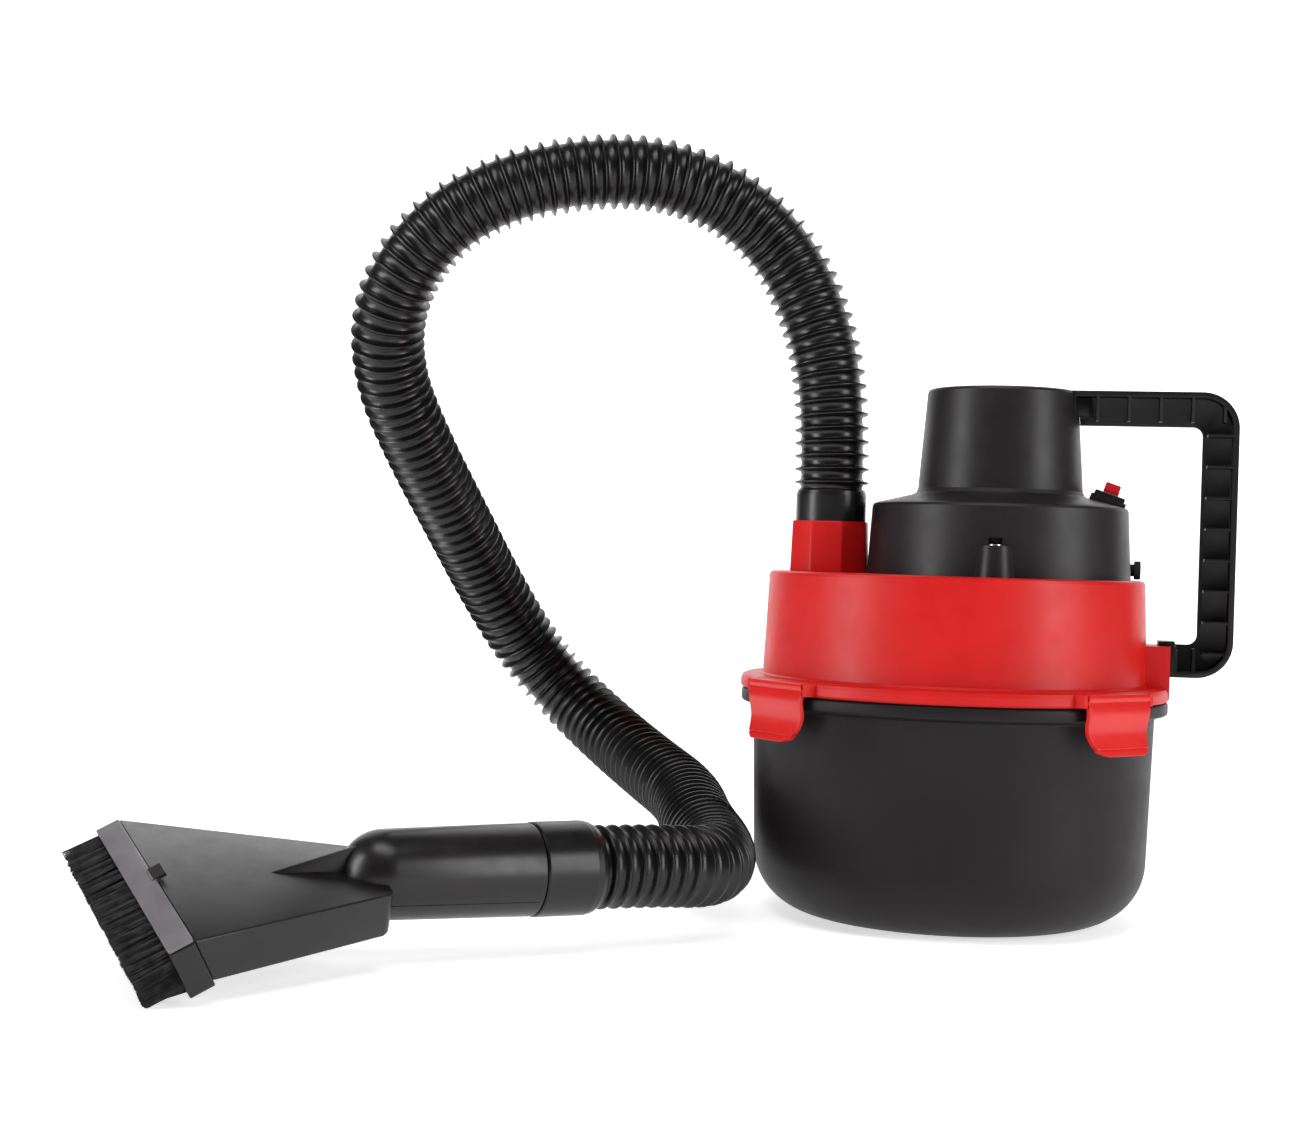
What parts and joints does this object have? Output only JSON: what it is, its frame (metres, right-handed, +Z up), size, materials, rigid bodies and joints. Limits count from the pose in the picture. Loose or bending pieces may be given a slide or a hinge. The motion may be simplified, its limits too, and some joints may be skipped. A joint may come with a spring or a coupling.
{
  "type": "car canister vacuum cleaner",
  "caption": "Small 12 V wet and dry canister vacuum for cars: round tank, latched lid with motor, fan and carrying handle, corrugated hose and flat brush nozzle.",
  "frame": {"origin": "centre of the tank's base, on the tank's axis", "axes": "+Z up; +X towards the carrying handle; -Y is the front, with two of the latches"},
  "size_m": [0.4217, 0.3878, 0.3283],
  "materials": {
    "tank": "satin, fine moulded grain",
    "lid": "glossy moulded",
    "seal": "matte",
    "latch": "glossy moulded",
    "steel": "zinc plated",
    "housing": "satin, fine spark-eroded grain",
    "handle": "semi gloss",
    "inner_plastic": "as moulded",
    "zinc": "zinc plated, dull",
    "magnet": "sintered ferrite",
    "bronze": "sintered",
    "carbon": "graphite",
    "laminate": "stacked sheet",
    "copper": "enamelled copper",
    "fan": "as moulded",
    "bezel": "glossy",
    "rocker": "tinted, see-through",
    "lead_red": "flexible sheath",
    "lead_black": "flexible sheath",
    "rubber": "matte",
    "filter_cloth": "needled felt",
    "elastic": "matte",
    "hose": "semi gloss, flexible",
    "nozzle": "semi gloss",
    "brush_frame": "fine ribbed",
    "bristle": "nylon filament"
  },
  "bodies": {
    "tank": {"tank": "tank"},
    "head": {"lid": "lid", "lid_seal": "seal", "latch_pins": "steel", "motor_housing": "housing", "housing_screws": "steel", "handle": "handle", "handle_screws": "steel", "motor_mount_plate": "inner_plastic", "plate_screws": "steel", "motor_can": "zinc", "motor_end_cap": "inner_plastic", "motor_screws": "steel", "motor_magnets": "magnet", "lower_bush": "bronze", "upper_bush": "bronze", "carbon_brushes": "carbon", "brush_holders": "bronze", "switch_bezel": "bezel", "switch_terminals": "copper", "switch_lead": "lead_red", "supply_lead": "lead_black", "cord_grommet": "rubber", "filter_cage": "inner_plastic", "filter_sleeve": "filter_cloth", "filter_band": "elastic", "inlet_deflector": "inner_plastic"},
    "latch_front_left": {"latch_front_left": "latch"},
    "latch_front_right": {"latch_front_right": "latch"},
    "latch_rear_right": {"latch_rear_right": "latch"},
    "latch_rear_left": {"latch_rear_left": "latch"},
    "rotor": {"motor_shaft": "steel", "armature_core": "laminate", "armature_windings": "copper", "commutator": "copper", "impeller": "fan", "impeller_nut": "steel"},
    "rocker": {"switch_rocker": "rocker"},
    "float": {"float_cup": "fan"},
    "hose": {"hose": "hose", "hose_lid_cuff": "hose", "hose_end_cuff": "hose"},
    "nozzle": {"nozzle_body": "nozzle"},
    "brush": {"brush_frame": "brush_frame", "bristles": "bristle"}
  },
  "joints": [
    {"name": "head_lift", "type": "slide", "parent": "tank", "child": "head", "axis": [0, 0, 1], "range_m": [0, 0.12]},
    {"name": "latch_front_left_open", "type": "hinge", "parent": "head", "child": "latch_front_left", "pos_m": [-0.06619, -0.06172, 0.0974], "axis": [-0.682, 0.7314, 0], "range_deg": [0, 42]},
    {"name": "latch_front_right_open", "type": "hinge", "parent": "head", "child": "latch_front_right", "pos_m": [0.06619, -0.06172, 0.0974], "axis": [-0.682, -0.7314, 0], "range_deg": [0, 42]},
    {"name": "latch_rear_right_open", "type": "hinge", "parent": "head", "child": "latch_rear_right", "pos_m": [0.06619, 0.06172, 0.0974], "axis": [0.682, -0.7314, 0], "range_deg": [0, 42]},
    {"name": "latch_rear_left_open", "type": "hinge", "parent": "head", "child": "latch_rear_left", "pos_m": [-0.06619, 0.06172, 0.0974], "axis": [0.682, 0.7314, 0], "range_deg": [0, 42]},
    {"name": "rotor_spin", "type": "hinge", "parent": "head", "child": "rotor", "pos_m": [0.0177, 0, 0.18], "axis": [0, 0, 1], "continuous": true},
    {"name": "switch_rock", "type": "hinge", "parent": "head", "child": "rocker", "pos_m": [0.06299, 0, 0.17857], "axis": [-0.9455, 0, 0.3256], "range_deg": [0, 22]},
    {"name": "float_rise", "type": "slide", "parent": "head", "child": "float", "axis": [0, 0, 1], "range_m": [0, 0.018]},
    {"name": "hose_pull", "type": "slide", "parent": "head", "child": "hose", "axis": [0, 0, 1], "range_m": [0, 0.03]},
    {"name": "nozzle_twist", "type": "hinge", "parent": "hose", "child": "nozzle", "pos_m": [-0.14757, -0.14452, 0.03054], "axis": [-0.7838, -0.6209, 0.013], "range_deg": [-90, 90]},
    {"name": "brush_pull", "type": "slide", "parent": "nozzle", "child": "brush", "axis": [-0.7838, -0.6209, 0.013], "range_m": [0, 0.012]}
  ]
}
